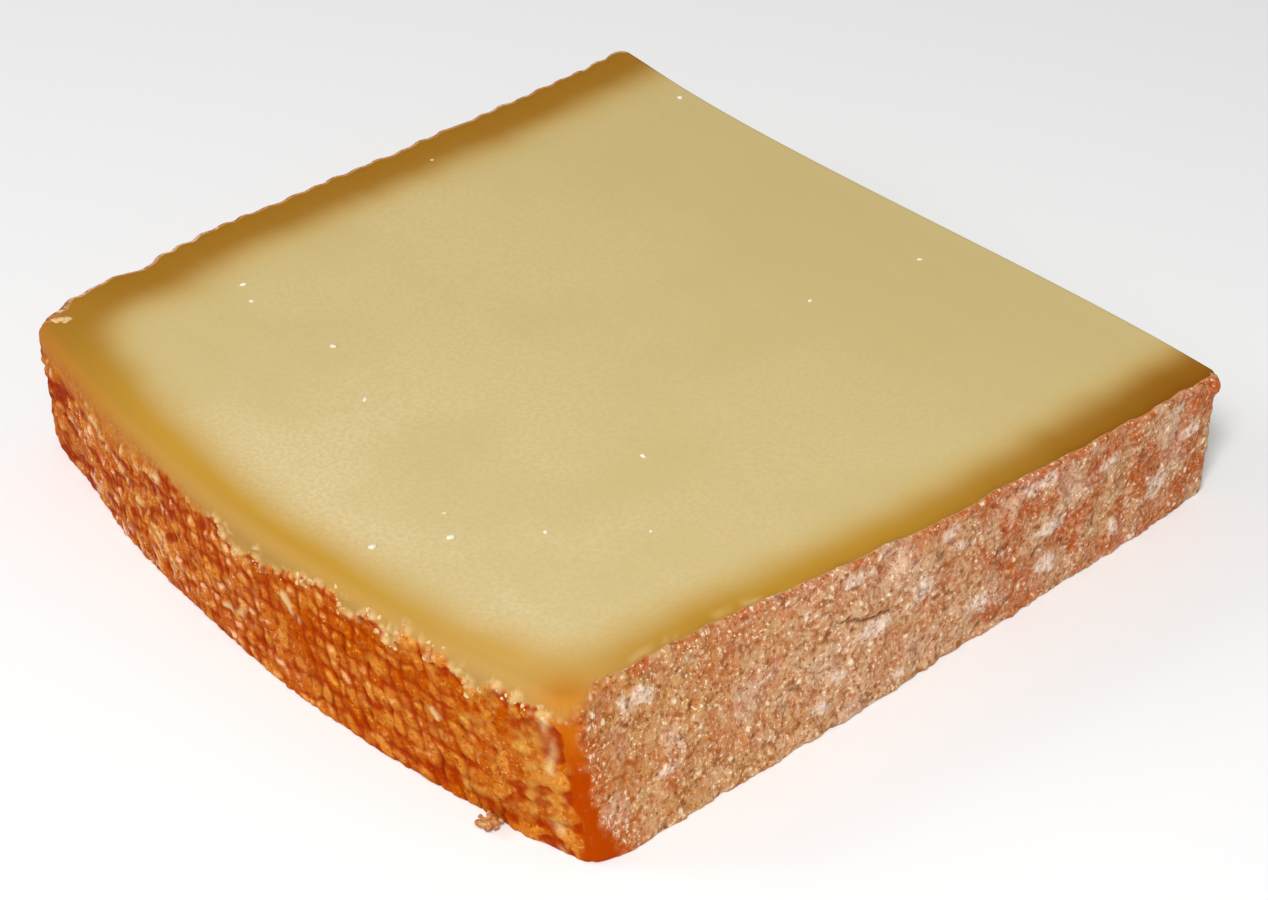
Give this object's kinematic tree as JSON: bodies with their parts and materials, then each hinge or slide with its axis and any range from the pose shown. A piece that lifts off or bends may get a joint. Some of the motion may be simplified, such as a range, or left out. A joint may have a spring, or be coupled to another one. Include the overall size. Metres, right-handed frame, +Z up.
{
  "type": "alpine cheese slab",
  "caption": "Flat retail slab cut from a wheel of hard alpine cheese, with a swollen cloth-printed heel and a grainy rind on two sides, lying on one cut face.",
  "frame": {"origin": "middle of the footprint, on the cut face that the slab rests on", "axes": "+Z up, through the slab's thickness; X across the height of the wheel, from one flat rind to the other; -Y towards the heel, the wheel's outer side"},
  "size_m": [0.1098, 0.111, 0.0211],
  "materials": {
    "cheese": "smooth, slightly fatty pale paste, with a dry grainy orange-brown rind"
  },
  "bodies": {
    "root": {"cheese_slab": "cheese"}
  },
  "joints": []
}
